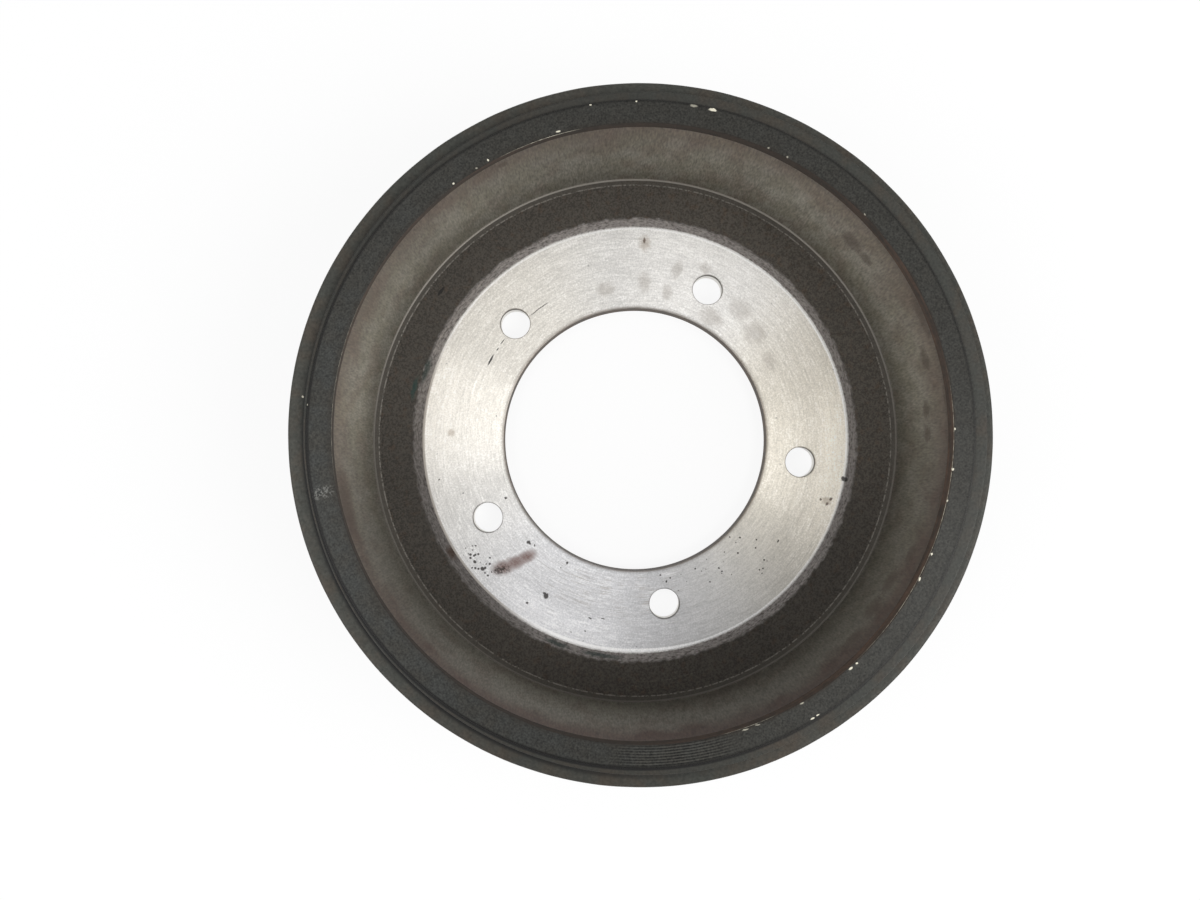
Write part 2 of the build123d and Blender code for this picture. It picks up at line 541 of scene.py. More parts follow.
marks = {
    # angle round the drum, place across it, length round it, width across it and lean; degrees and millimetres
    "stain": [(95.2, 83.7, 1.2, 2.4), (-10.2, 81.6, 0.9, 0.8), (-9.2, 85.4, 1.3, 1),
              (-10.9, 84.7, 1.2, 1)],
    "halo": [(95, 82.5, 4.5, 6), (-10, 84, 3.5, 4), (-174, 77, 3, 3)],
    "smear": [(-127.7, 76.8, 5.6, 8, -0.26), (-126.2, 72, 5.2, 8, -0.26), (-124.8, 67.2, 4.6, 8, -0.26)],
    "smearEnd": [(-127.6, 78, 4.6, 5.5, -0.26)],
    "pit": [(-111.6, 75.4, 1.8, 2.2), (-112.4, 74.6, 1.2, 1.2), (-115.4, 82, 1.1, 1),
            (-96.2, 77.1, 1.1, 0.7), (-92.2, 76.3, 1.3, 0.5), (-96.7, 82.8, 0.9, 0.7),
            (-127.6, 62.1, 2, 1.1), (-125.3, 61.2, 0.9, 0.6), (-110.8, 59.1, 0.9, 1),
            (-111.9, 62.2, 0.8, 0.7), (-147.4, 59.4, 1, 0.9), (-160.2, 83.8, 0.8, 0.8),
            (-154.6, 75.4, 0.7, 0.7), (-27.6, 73.4, 1.4, 0.6), (-2.9, 88.6, 2.2, 2),
            (-134.6, 84.4, 1.6, 1.2), (-131.6, 83.6, 1.7, 1.6)],
    "pocked": [(-134, 82.5, 16, 9)],
    "peppered": [(-62, 61, 22, 12), (-44, 64, 30, 15), (-36, 74, 12, 10)],
    "ink": [(159.2, 69, 5.2, 0.75), (154.8, 68.9, 1.3, 0.5), (151.6, 69, 2.6, 0.4),
            (134.2, 67.9, 9.5, 0.35)],
    "smudge": [(84, 73.3, 4, 8), (75.6, 77.7, 5, 4), (59, 70, 9, 7), (49, 67, 9, 9), (38, 65, 7, 5),
               (109, 64, 7, 5), (85.6, 63, 4, 6), (66, 60, 10, 7), (94.5, 66, 5, 8)],
    "smudgeMiddle": [(49, 67, 4, 4), (59, 70, 4, 3)],
    "teal": [(169.5, 92.3, 10, 2.6), (175, 95.3, 9, 2), (-91, 91.5, 16, 2), (-103, 91.5, 10, 2)],
    "floorStain": [(150.6, 102.8, 4.8, 1.4), (-2.9, 89.7, 2, 1.8)],
    "bandRust": [(-140.3, 90.4, 6, 3.4)],
    "chalk": [(-76, 101.5, 20, 0.4, 1.4), (-68, 101, 13, 0.35, -0.9), (-82.5, 103.2, 4, 0.4, 1),
              (-73, 99, 8, 0.35, 2.4)],
    "chip": [(85.3, 118.3, 2.8, 1.1), (98.7, 118.5, 0.8, 0.5), (106.7, 118.4, 0.8, 0.5),
             (113.3, 111.6, 1.5, 0.7), (-51.3, 118.1, 1.6, 0.6), (-50.2, 118, 1.2, 0.5),
             (-40.6, 111.9, 1.5, 0.8), (-39.2, 112.1, 1, 0.6), (-20, 111.7, 1.5, 0.5),
             (-15, 111.9, 0.7, 0.8), (-4.8, 111.6, 0.9, 0.5), (1, 111.6, 0.7, 0.8),
             (8.4, 111.7, 0.9, 0.7), (135, 111.3, 0.8, 0.6), (127.3, 111.6, 0.5, 0.9),
             (182, 122.6, 0.8, 0.8), (183.4, 119.4, 0.6, 0.6)],
    "faintChip": [(-62.8, 111.6, 2.2, 0.5), (-60.4, 111.5, 1.6, 0.4), (-51.5, 111.6, 1.8, 0.5),
                  (129.9, 111.2, 0.8, 0.5), (52, 111.6, 0.9, 0.5), (69.8, 111.6, 0.7, 0.8),
                  (73.7, 111.6, 0.8, 0.6), (88.7, 118.4, 2.4, 0.9)],
    "scuff": [(-161.2, 115.4, 4.2, 9, 0)],
    "wallStain": [(14, 77, 14, 4), (31, 77.2, 10, 3), (-4, 76.5, 12, 3), (22.5, 62, 8, 9), (13, 52, 6, 8),
                  (8, 52, 5, 9), (45.5, 52, 5, 9), (50.1, 52, 9.5, 13), (-28.5, 53, 10, 14),
                  (-22.5, 53, 10, 13), (-36, 60, 9, 12), (-16, 62, 7, 9), (125, 72, 3, 6),
                  (-158, 70, 24, 18), (30, 74, 14, 8)],
    "wallPale": [(64, 56, 14, 26), (184, 48, 14, 50), (135, 40, 16, 16)],
}

rims = {
    # how soft and how ragged the rims of each kind of mark are
    "stain": (0.8, 1.6),
    "halo": (1, 3),
    "smear": (1.3, 1.6),
    "smearEnd": (1, 2),
    "pit": (0.5, 1.5),
    "pocked": (1, 0),
    "peppered": (1, 0),
    "ink": (0.4, 0.5),
    "smudge": (1, 4),
    "smudgeMiddle": (1, 2),
    "teal": (1, 2),
    "floorStain": (0.6, 1),
    "bandRust": (1, 2),
    "chalk": (0.6, 0.8),
    "chip": (0.6, 1),
    "faintChip": (0.9, 1),
    "scuff": (0.9, 2),
    "wallStain": (1, 5),
    "wallPale": (1, 8),
}


def tone(name):
    # a screen colour made linear, with full opacity
    return (*(((c / 255 + 0.055) / 1.055) ** 2.4 for c in iron[name]), 1)


def tinted(under, over, share):
    # colours are mixed; each is a name, a value or a wire
    under, over = (tone(colour) if isinstance(colour, str) else colour for colour in (under, over))
    return Wire.node("ShaderNodeMix", {"data_type": "RGBA", "clamp_factor": False},
                     {0: share, 6: under, 7: over}, out=2)


def shaded(colour, shade):
    # a colour made lighter or darker
    return tinted((0, 0, 0, 1), colour, shade)


def mixNumber(under, over, share):
    return under + (over - under) * share


class Surface:
    # where a point of the drum lies, in millimetres and degrees, the patterns there, and the finish so far
    meanRadius = 90

    def __init__(self, look):
        self.look = look
        self.place = vector("SCALE", Wire.node("ShaderNodeTexCoord").part("Object"), Scale=1 / mm)
        split = Wire.node("ShaderNodeSeparateXYZ", {}, {0: self.place})
        self.height = split.part("Z")
        flat = vector("MULTIPLY", self.place, (1, 1, 0))
        self.radius = vector("LENGTH", flat, out="Value")
        self.outward = vector("NORMALIZE", flat)
        turn = split.sum("ARCTAN2", split.part("Y"), split.part("X"))
        self.turn = turn.sum("DEGREES", turn)
        self.across = self.height if look.get("across") == "height" else self.radius
        self.made = {}

    def pattern(self, name):
        # noise of that name, made once and used again; turning marks are drawn out round the drum
        if name in self.made:
            return self.made[name]
        if name in turning:
            length, width, detail, seed = turning[name]
            drawn = vector("SCALE", self.outward, Scale=self.meanRadius / length)
            level = Wire.node("ShaderNodeCombineXYZ", {}, {2: self.across / width})
            place, size = vector("ADD", drawn, level), 1
        else:
            size, detail, seed, *tall = patterns[name]
            place = vector("MULTIPLY", self.place, (1, 1, 1 / tall[0])) if tall else self.place
        self.made[name] = Wire.node("ShaderNodeTexNoise", {"noise_dimensions": "4D"},
                                    {"Vector": place, "W": seed, "Scale": 1 / size, "Detail": detail})
        return self.made[name]

    def blend(self, name):
        total, weights = self.look[name]
        for pattern, weight in weights.items():
            total = total + self.pattern(pattern) * weight
        return total

    def side(self, angle, spread):
        # 1 at that angle round the drum, fading to 0 that many degrees to either side of it
        toward = (cos(radians(angle)), sin(radians(angle)), 0)
        facing = vector("DOT_PRODUCT", self.outward, toward, out="Value")
        return rise(facing, (1 + cos(radians(spread))) / 2, 1 - cos(radians(spread)))

    def around(self, name):
        total, sides = self.look[name]
        for angle, spread, amount in sides:
            total = total + self.side(angle, spread) * amount
        return total

    def strongest(self, name):
        # only the strongest of the sides counts
        base, sides = self.look[name]
        most = 0
        for angle, spread, amount in sides:
            most = (self.side(angle, spread) * amount).most(most)
        return base + most

    def past(self, value, edge, name):
        # 0 short of an edge and 1 past it
        beyond, soft = self.look[name]
        return rise(value, edge + beyond, soft)

    def patches(self, pattern, name):
        return self.past(self.pattern(pattern), 0, name)

    def short(self, value, edge, name):
        return 1 - self.past(value, edge, name)

    def strip(self, value, edge, name):
        # 1 on a strip along an edge
        low, high, soft = self.look[name]
        return rise(value, edge + low, soft) * (1 - rise(value, edge + high, soft))

    def skin(self, colour, shade):
        # the bare finish
        self.colour = shaded(colour, shade)
        self.rough = self.blend("rough")
        self.metal = self.look["metal"]
        self.relief = self.blend("relief")

    def lay(self, name, share, shade=None):
        # a layer over the finish; it leaves the relief as it was
        colour, strength, *changes = self.look[name]
        share = share * strength
        self.colour = tinted(self.colour, colour if shade is None else shaded(colour, shade), share)
        for key, value in zip(("rough", "metal"), changes):
            setattr(self, key, mixNumber(getattr(self, key), value, share))

    def marks(self, name, across=None, reach=None):
        # 1 in the middle of a mark of that name and 0 outside it
        soft, ragged = rims[name]
        wander = iron["raggedness"] * ragged
        across = (across or self.radius) + (self.pattern("tremble") - noiseMean) * wander
        turn = self.turn + (self.pattern("wander") - noiseMean) * (wander / radians(self.meanRadius))
        share = 0
        for angle, place, length, width, *lean in marks[name]:
            angle = (angle + 180) % 360 - 180
            aside = across - place
            along = turn - angle
            if lean:
                along = along - aside * lean[0]
            along = along * (2 * radians(reach or place) / length)
            aside = aside * (2 / width)
            share = (1 - rise(along * along + aside * aside, 1, soft * 2)).most(share)
        return share


# In the looks below, lengths are in millimetres. A blend is a base and the weights of the patterns added to
# it. Sides are a base and (degrees round the drum, degrees to either side, what is added there). A step is how
# far past an edge it lies and how soft it is; a strip is where it starts, where it ends and how soft it is. A
# layer is its colour, its strength and, where it changes them, its roughness and metal.

castLook = {
    "shade": (0.25, {"grain": 1.26, "cloud": 0.24}),
    "shadeSides": (1, [(263, 40, -0.16), (183, 30, 0.1), (345, 50, -0.14)]),
    "landShade": (0.16, [(135, 70, 0.16)]),
    "rough": (0.62, {"grain": -0.1}),
    "metal": 0.35,
    "relief": (0, {"grain": 0.08, "lump": 0.1}),
    "warm": (0.55, 0.3),
    "rust": (0, {"cloud": 0.6, "lump": 0.4}),
    "rusty": (0.56, 0.25),
    "rustOff": 0.6,  # share of rust off the rim, and on it
    "rustOn": 0.1,
    "rim": (-0.6, 0.6),  # steps past the flange's face
    "land": (3, 1),
    "lipFoot": (2, 1),
    "dirtShift": (1.75, 10),  # how far off centre the painted shadow's circle is, and degrees round to that side
    "dirtInside": (0, 0.5),
    "dirtOutside": (1.9, 1.6),
    "dirtSides": (0, [(225, 80, 1), (150, 60, 0.45)]),
    "lineEdge": (0.5, 0.7),
    "lineWider": (0, [(255, 105, 0.55)]),
    "lineSides": (0.5, [(235, 120, 0.5)]),
    "dirt": ("deep", 1),
    "chip": ("chip", 0.8),
}


def castPaint(at, look):
    # land, flange, outside and the ring below: sand-cast, grainy, dull, with a little rust in its hollows
    lip = drum["lip"] / mm
    lipEdge = (drum["friction"] + drum["lipWidth"]) / mm
    landEdge = lipEdge + drum["landWidth"] / mm
    flangeTop = lip - drum["flangeDrop"] / mm
    onRim = at.past(at.height, flangeTop, "rim")
    onLand = at.past(at.height, flangeTop, "land")
    colour = tinted("cast", "castWarm", at.patches("haze", "warm"))
    rusty = at.past(at.blend("rust"), 0, "rusty") * mixNumber(look["rustOff"], look["rustOn"], onRim)
    # painted light and shade: brighter or darker at sides round the drum, as the light falls there
    shade = at.blend("shade") * at.around("shadeSides")
    # the land is darker than the flange, and painted shade darkens it more at one side
    shade = shade * (1 - onLand * at.around("landShade"))
    at.skin(tinted(colour, "rust", rusty), shade)

    # painted shadow in the corner where the off-centre land meets the flange, and painted shade along the
    # outside of the lip
    shift, angle = look["dirtShift"]
    middle = (shift * cos(radians(angle)), shift * sin(radians(angle)), 0)
    offCentre = vector("MULTIPLY", vector("SUBTRACT", at.place, middle), (1, 1, 0))
    hollowShadeRadius = vector("LENGTH", offCentre, out="Value")
    hollow = at.past(hollowShadeRadius, landEdge, "dirtInside") * at.short(hollowShadeRadius, landEdge, "dirtOutside")
    at.lay("dirt", hollow * onRim * at.strongest("dirtSides"))
    # painted shade along the outside of the lip, wider and stronger at one side
    line = at.short(at.radius - at.around("lineWider"), lipEdge, "lineEdge")
    line = at.past(at.height, flangeTop, "lipFoot") * line * at.around("lineSides")
    at.lay("dirt", line)
    at.lay("chip", at.marks("chip") * onRim)


lipLook = {
    "shade": (-0.36, {"lipGrit": 1.95, "haze": 0.28, "lump": 0.2, "lipMark": 0.16}),
    "shadeSides": (1.03, [(350, 50, -0.2)]),
    "rough": (0.5, {}),
    "metal": 0.6,
    "relief": (0, {"lipMark": 0.006, "lipGrit": 0.03}),
    "cold": (0.5, 0.3),
    "coldSides": (0.3, [(210, 90, 0.7)]),
    "combPitch": 0.98,  # between the tool's marks on one side of the lip
    "combWaver": (0, {"blotch": 0.4}),
    "combSides": (0, [(284, 13, 0.6)]),
    "scuffed": (0.54, 0.12),
    "outerEdge": (-0.8, 0.8),  # painted shade along the outside
    "outerSides": (0.5, [(225, 100, 0.35)]),
    "innerEdge": (0.9, 1.4),  # stain along the mouth
    "innerWaver": (-1.5, {"haze": 3}),
    "innerSides": (0.3, [(20, 50, 0.5), (330, 50, 0.5)]),
    "scuff": ("lipGlint", 0.55, 0.45),
    "dirt": ("deep", 1),
    "stain": ("mouth", 1),
    "faintChip": ("chip", 0.45),
    "chip": ("chip", 0.9, 0.6, 0.0),
}


def lipPaint(at, look):
    lipEdge = (drum["friction"] + drum["lipWidth"]) / mm
    inner = (drum["friction"] + drum["leadInWidth"]) / mm
    combed = (at.radius + at.blend("combWaver")) * (2 * pi / look["combPitch"])
    cold = at.patches("haze", "cold") * at.around("coldSides")
    shade = at.blend("shade") + combed.sum("SINE", combed) * at.around("combSides")
    # painted light and shade at sides round the drum
    shade = shade * at.around("shadeSides")
    at.skin(tinted("lip", "lipCold", cold), shade)
    at.lay("scuff", at.marks("scuff") * at.patches("scuff", "scuffed"))
    # painted shade along the lip's outer edge, stronger at one side
    at.lay("dirt", at.past(at.radius, lipEdge, "outerEdge") * at.around("outerSides"))
    stained = at.short(at.radius + at.blend("innerWaver"), inner, "innerEdge")
    at.lay("stain", stained * at.strongest("innerSides"))
    at.lay("faintChip", at.marks("faintChip"))
    at.lay("chip", at.marks("chip"))


mouthLook = {
    "across": "height",
    "shade": (0.45, {"grit": 0.8, "haze": 0.3}),
    "rough": (0.62, {}),
    "metal": 0.3,
    "relief": (0, {"grit": 0.05}),
    "rust": (0, {"mouthMark": 0.7, "lump": 0.3}),
    "rusty": (0.5, 0.4),
    "rustSides": (0.25, [(18, 45, 0.75), (330, 60, 0.75), (150, 40, 0.45)]),
    "edge": (-0.35, 0.2),  # steps past the top of the lip
    "chipped": (-0.8, 0.4),
    "dashes": (0.5, 0.2),
    "betweenDashes": 0.3,
    "wornSides": (0, [(350, 34, 1), (298, 6, 1), (180, 20, 1), (117, 9, 1.5)]),
    "worn": ("chip", 0.6, 0.5),
    "chip": ("chip", 1, 0.6),
}


def mouthPaint(at, look):
    lip = drum["lip"] / mm
    rusty = at.past(at.blend("rust"), 0, "rusty") * at.strongest("rustSides")
    at.skin(tinted("mouth", "mouthRust", rusty), at.blend("shade"))
    dashes = mixNumber(look["betweenDashes"], 1, at.patches("dash", "dashes"))
    at.lay("worn", at.past(at.height, lip, "edge") * dashes * at.strongest("wornSides"))
    at.lay("chip", at.marks("chip") * at.past(at.height, lip, "chipped"))


trackLook = {
    "across": "height",
    "shade": (0.05, {"wipe": 0.08, "trackMark": 0.12, "trackBlotch": 0.08, "trackGrit": 2.05}),
    "shadeSides": (1, [(72, 38, 0.2), (191, 20, 0.08), (328, 60, -0.32), (158, 25, -0.08)]),
    "paler": 0.1,
    "rough": (0.42, {"trackBlotch": 0.1}),
    "metal": 0.6,
    "relief": (0, {"trackMark": 0.003, "trackGrit": 0.02}),
    "foot": (20, 36),  # steps down from the lip
    "glowing": (44, 50),
    "dulled": (20, 45),
    "shadowed": (5, 8),
    "rustDrop": (4, 18),
    "rustWaver": (0, {"trackBlotch": 24}),
    "rustSides": (0.25, [(290, 110, 0.65)]),
    "rustSpot": (0.54, 0.16),
    "rustSpots": 0.3,
    "moss": (0.5, 0.25),
    "mossSides": (0.32, [(270, 80, -0.32)]),
    "glow": 0.16,
    "dullTop": 0.06,
    "dullFoot": 0.26,
    "dullSides": (0, [(213, 36, 1)]),
    "shadowSides": (0.06, [(10, 90, 0.22)]),
    "stain": ("trackStain", 0.6, 0.6, 0.3),
}


def trackPaint(at, look):
    depth = drum["lip"] / mm - at.height
    reach = drum["friction"] / mm
    blotch = at.pattern("trackBlotch")
    moss = at.patches("trackHaze", "moss") * at.around("mossSides")
    rusty = at.short(depth - at.blend("rustWaver"), 0, "rustDrop") * at.around("rustSides")
    rusty = rusty + at.past(blotch, 0, "rustSpot") * look["rustSpots"]
    colour = tinted("trackTop", "trackFoot", at.past(depth, 0, "foot"))
    colour = tinted(colour, "trackMoss", moss)
    colour = tinted(colour, "trackRust", rusty.least(1))
    shade = at.blend("shade") + at.marks("wallPale", at.height, reach) * look["paler"]
    # painted light: the lower part of the wall is made brighter
    shade = shade * (1 + at.past(depth, 0, "glowing") * look["glow"])
    # painted shade at one side of the wall, stronger toward the foot
    sideShade = mixNumber(look["dullTop"], look["dullFoot"], at.past(depth, 0, "dulled"))
    shade = shade * (at.around("shadeSides") - at.around("dullSides") * sideShade)
    # painted shadow under the mouth, stronger at one side
    shade = shade * (1 - at.short(depth, 0, "shadowed") * at.around("shadowSides"))
    at.skin(colour, shade)
    at.lay("stain", at.marks("wallStain", at.height, reach))


# the bright edge of the hub seat, painted highlight on the seat and on the slope outside it, is worn away on
# one side
edgeWear = (0, [(205, 52, 1.5)])

floorLook = {
    "shade": (0.72, {"cloud": 0.3}),
    "shadeSides": (1, [(40, 70, 0.28), (213, 35, -0.14), (325, 40, -0.14)]),
    "rough": (0.7, {}),
    "metal": 0.3,
    "relief": (0, {"sand": 0.14}),
    "pale": (0.56, 0.16),
    "paler": 0.18,
    "rust": (0.62, 0.2),
    "rustShare": 0.5,
    "dark": (0.46, 0.2),
    "darker": 0.6,
    "foot": (-0.2, 0.4),
    "rubbedStrip": (-0.4, 0.3, 0.2),
    "rubbedSides": (0.2, [(100, 100, 0.5)]),
    "dottedStrip": (-0.2, 0.3, 0.2),
    "dots": (0.48, 0.16),
    "scrape": (0, {"brush": 0.7, "grit": 0.3}),
    "scraped": (0.4, 0.4),
    "scrapeEdge": (-0.4, 1.8),
    "scrapeWaver": (-1.9, {"fray": 2.6, "sand": 1.2}),
    "scrapeShade": (0.2, {"brush": 0.6, "grit": 0.9}),
    "scrapeSides": (1, [(213, 50, -0.35), (130, 60, 0.08)]),
    "wear": edgeWear,
    "glintEdge": (0.5, 0.3),
    "glintSides": (0.5, [(45, 62, 0.5), (264, 36, 0.5)]),
    "betweenDots": 0.6,
    "chalky": (0.48, 0.12),
    "ledgeFoot": ("foot", 0.6),
    "rubbed": ("line", 1, 0.4, 0.8),
    "dotted": ("line", 0.4, 0.4, 0.8),
    "shoulder": ("shoulder", 1, 0.45, 0.6),
    "glint": ("glint", 1, 0.5, 0.0),
    "chalk": ("chalk", 0.3),
    "teal": ("teal", 0.7),
    "bandRust": ("rust", 0.7),
    "stain": ("deep", 0.8),
}


def floorPaint(at, look):
    # floor, corner, ledge and the slope up to the hub seat
    ledge = (drum["friction"] - drum["ledge"]) / mm
    corner = ledge - drum["cornerWidth"] / mm
    hub = drum["hubSeat"] / mm
    foot = hub + drum["shoulder"] / mm
    sand = at.pattern("sand")
    shade = at.blend("shade") + at.past(sand, 0, "pale") * look["paler"]
    # painted light and shade at sides round the floor, where the wall shades it or the lamps reach it
    shade = shade * at.around("shadeSides")
    colour = tinted("floor", "floorRust", at.patches("lump", "rust") * look["rustShare"])
    colour = tinted(colour, "floorGrain", at.short(sand, 0, "dark") * look["darker"])
    at.skin(colour, shade)

    at.lay("ledgeFoot", at.past(at.radius, corner, "foot"))
    dots = at.patches("grit", "dots")
    # painted highlights: a thin line on the ledge, stronger at some sides, and a dotted line on the corner's
    # inner edge
    at.lay("rubbed", at.strip(at.radius, ledge, "rubbedStrip") * at.around("rubbedSides"))
    at.lay("dotted", at.strip(at.radius, corner, "dottedStrip") * dots)

    scraped = at.past(at.blend("scrape"), 0, "scraped")
    scraped = scraped * at.short(at.radius + at.blend("scrapeWaver"), foot, "scrapeEdge")
    # the scraped band is real; its brightness at sides round the drum is painted light
    bright = at.blend("scrapeShade") * at.around("scrapeSides")
    at.lay("shoulder", scraped, bright)
    # painted highlight along the hub seat's edge on the slope, stronger at two sides
    glint = at.short(at.radius, hub, "glintEdge") * (1 - at.around("wear").least(1))
    glint = glint * at.around("glintSides") * mixNumber(look["betweenDots"], 1, dots)
    at.lay("glint", glint)
    at.lay("chalk", at.marks("chalk") * at.patches("scuff", "chalky"))
    at.lay("teal", at.marks("teal"))
    at.lay("bandRust", at.marks("bandRust"))
    at.lay("stain", at.marks("floorStain"))


seatLook = {
    "shade": (0.17, {"seatMark": 0.3, "seatBrush": 0.44, "sparkle": 0.72, "haze": 0.12, "seatRing": 0.1}),
    "rough": (0.36, {"seatMark": 0.12}),
    "metal": 0.7,
    "relief": (0, {"seatMark": 0.004, "sparkle": 0.008}),
    "rays": (0, [(70, 36, 0.2), (181, 24, 0.28), (0, 26, 0.12), (311, 46, -0.3)]),
    "outer": (78, 8),
    "outerRays": (0.06, [(358, 34, 0.24), (255, 24, 0.2)]),
    "warmSides": (0, [(5, 60, 0.85), (158, 55, 0.45)]),
    "coldSides": (0, [(262, 55, 0.9)]),
    "spark": (0, {"sparkle": 0.6, "seatBrush": 0.4}),
    "sparks": (0.58, 0.14),
    "sparkShare": 0.28,
    "brushedSides": (0, [(268, 34, 1)]),
    "brushedEdge": (74, 8),
    "paleHair": (0.6, 0.08),
    "paleHaze": (0.48, 0.2),
    "paleLeast": 0.1,
    "paleBrushed": 0.3,
    "darkHair": (0.4, 0.06),
    "darkHaze": (0.46, 0.2),
    "darkLeast": 0.14,
    "darkBrushed": 0.5,
    "edge": (-0.85, 0.4),
    "edgeWaver": (-0.3, {"haze": 0.6}),
    "edgeWider": (0, [(264, 36, 0.7)]),
    "edgeSides": (0.6, [(45, 62, 0.4), (264, 36, 0.4)]),
    "dots": (0.48, 0.16),
    "betweenDots": 0.7,
    "wear": edgeWear,
    "wornEdge": (-0.9, 0.5),
    "boreEdge": (1.1, 1.6),
    "boreSides": (0.3, [(285, 70, 0.15)]),
    "boreRustEdge": (0.7, 0.5),
    "boreRusty": (0.1, {"haze": 0.4}),
    "cellSize": 1.4,
    "cellWaver": (0, {"scuff": 0.3}),
    "pitEdge": (0.43, 0.12),
    "pockedWider": 0.12,
    "pockedShare": 0.6,  # share of the cells that have a pit
    "pepperedShare": 0.2,
    "pitSoft": 0.03,
    "soiled": (0.3, {"lump": 1.2}),
    "smeared": (0.4, {"sparkle": 0.8}),
    "smearPits": (0.5, 0.12),
    "sparkling": ("glint", 1),
    "pale": ("glint", 1),
    "dark": ("smudge", 1),
    "bright": ("glint", 1, 0.3),
    "worn": ("smudge", 0.8),
    "bore": ("bore", 1),
    "boreRust": ("boreRust", 1, 0.5),
    "smudge": ("smudge", 0.44, 0.5),
    "smudgeMiddle": ("seat", 0.25),
    "smear": ("smear", 1, 0.6, 0.4),
    "smearEnd": ("pit", 0.8, 0.6, 0.4),
    "halo": ("halo", 0.45, 0.5),
    "stain": ("stain", 0.85, 0.6, 0.4),
    "pit": ("pit", 0.9, 0.7, 0.2),
    "ink": ("ink", 0.95, 0.6, 0.0),
}


def seatPits(at, look):
    # a share of the cells of a pattern have a pit in their middle
    cells = Wire.node("ShaderNodeTexVoronoi", {}, {"Vector": at.place, "Scale": 1 / look["cellSize"]})
    rare = Wire.node("ShaderNodeSeparateColor", {}, {0: cells.part("Color")}).part("Red")
    pocked = at.marks("pocked")
    pitted = (pocked * look["pockedShare"]).most(at.marks("peppered") * look["pepperedShare"])
    size = at.short(cells + at.blend("cellWaver"), pocked * look["pockedWider"], "pitEdge")
    return size * (1 - rise(rare, pitted, look["pitSoft"]))


def seatPaint(at, look):
    hub = drum["hubSeat"] / mm
    bore = drum["bore"] / mm
    hair = at.pattern("hair")
    haze = at.pattern("haze")

    # painted light lies across the turning marks in broad rays, some bright and some dull, warm here and cold
    # there
    outer = at.past(at.radius, 0, "outer")
    rays = at.around("rays") + outer * at.around("outerRays")
    colour = tinted("seat", "seatWarm", at.strongest("warmSides"))
    colour = tinted(colour, "seatCold", at.around("coldSides"))
    at.skin(colour, at.blend("shade") * (1 + rays))
    # painted sparkle highlights, stronger where the painted rays are bright
    sparks = at.past(at.blend("spark"), 0, "sparks") * (look["sparkShare"] + rays)
    at.lay("sparkling", sparks)
    brushed = at.around("brushedSides") * at.short(at.radius, 0, "brushedEdge")
    pale = at.past(hair, 0, "paleHair") * at.past(haze, 0, "paleHaze")
    at.lay("pale", pale * (look["paleLeast"] + brushed * look["paleBrushed"]))
    dark = at.short(hair, 0, "darkHair") * at.past(haze, 0, "darkHaze")
    at.lay("dark", dark * (look["darkLeast"] + brushed * look["darkBrushed"]))

    # a bright broken line along the worn edge, bare metal brightened by painted highlight that is stronger at
    # two sides and worn away on one side, and a dull rim round the bore
    dotted = mixNumber(look["betweenDots"], 1, at.patches("sparkle", "dots"))
    worn = at.around("wear").least(1)
    waver = at.blend("edgeWaver") + at.around("edgeWider")
    edge = at.past(at.radius + waver, hub, "edge")
    at.lay("bright", edge * dotted * (1 - worn) * at.around("edgeSides"))
    at.lay("worn", at.past(at.radius, hub, "wornEdge") * worn)
    at.lay("bore", at.short(at.radius, bore, "boreEdge") * at.around("boreSides"))
    at.lay("boreRust", at.short(at.radius, bore, "boreRustEdge") * at.blend("boreRusty"))

    # marks: soft smudges, a smear, stains, pits of two sizes and ink dashes
    at.lay("smudge", (at.marks("smudge") * at.blend("soiled")).least(1))
    at.lay("smudgeMiddle", at.marks("smudgeMiddle"))
    at.lay("smear", at.marks("smear") * at.blend("smeared"))
    at.lay("smearEnd", at.marks("smearEnd") * at.patches("scuff", "smearPits"))
    at.lay("halo", at.marks("halo"))
    at.lay("stain", at.marks("stain"))
    at.lay("pit", at.marks("pit").most(seatPits(at, look)))
    at.lay("ink", at.marks("ink"))


boreLook = {
    "across": "height",
    "shade": (0.6, {"seatMark": 0.6}),
    "shadeSides": (1, [(280, 75, -0.3)]),
    "rough": (0.5, {}),
    "metal": 0.6,
    "relief": (0, {"seatMark": 0.004}),
    "rust": (0.5, 0.3),
    "rustShare": 0.6,
    "studs": (2, 1),  # steps outside the bore and above the wheel seat
    "studFoot": (5.4, 1.6),
    "foot": ("boreFoot", 1, 0.4, 0.6),
}


def borePaint(at, look):
    # walls of the bore and the stud holes, with painted shade at one side; the foot of a stud hole is bright
    # with a painted reflection of the white floor
    colour = tinted("bore", "boreRust", at.patches("lump", "rust") * look["rustShare"])
    # painted shade at one side of the walls
    at.skin(colour, at.blend("shade") * at.around("shadeSides"))
    inStud = at.past(at.radius, drum["bore"] / mm, "studs")
    # painted reflection of the white floor at the foot of each stud hole
    at.lay("foot", inStud * at.short(at.height, 0, "studFoot"))


wheelSeatLook = {
    "shade": (0.5, {"seatMark": 0.2, "seatRing": 0.2}),
    "rough": (0.4, {}),
    "metal": 0.8,
    "relief": (0, {"seatMark": 0.004}),
    "soil": (0, {"cloud": 1, "haze": 0.4}),
    "soiled": (0.7, 0.3),
    "stain": ("stain", 0.5, 0.6, 0.4),
}


def wheelSeatPaint(at, look):
    at.skin("seat", at.blend("shade"))
    at.lay("stain", at.past(at.blend("soil"), 0, "soiled"))


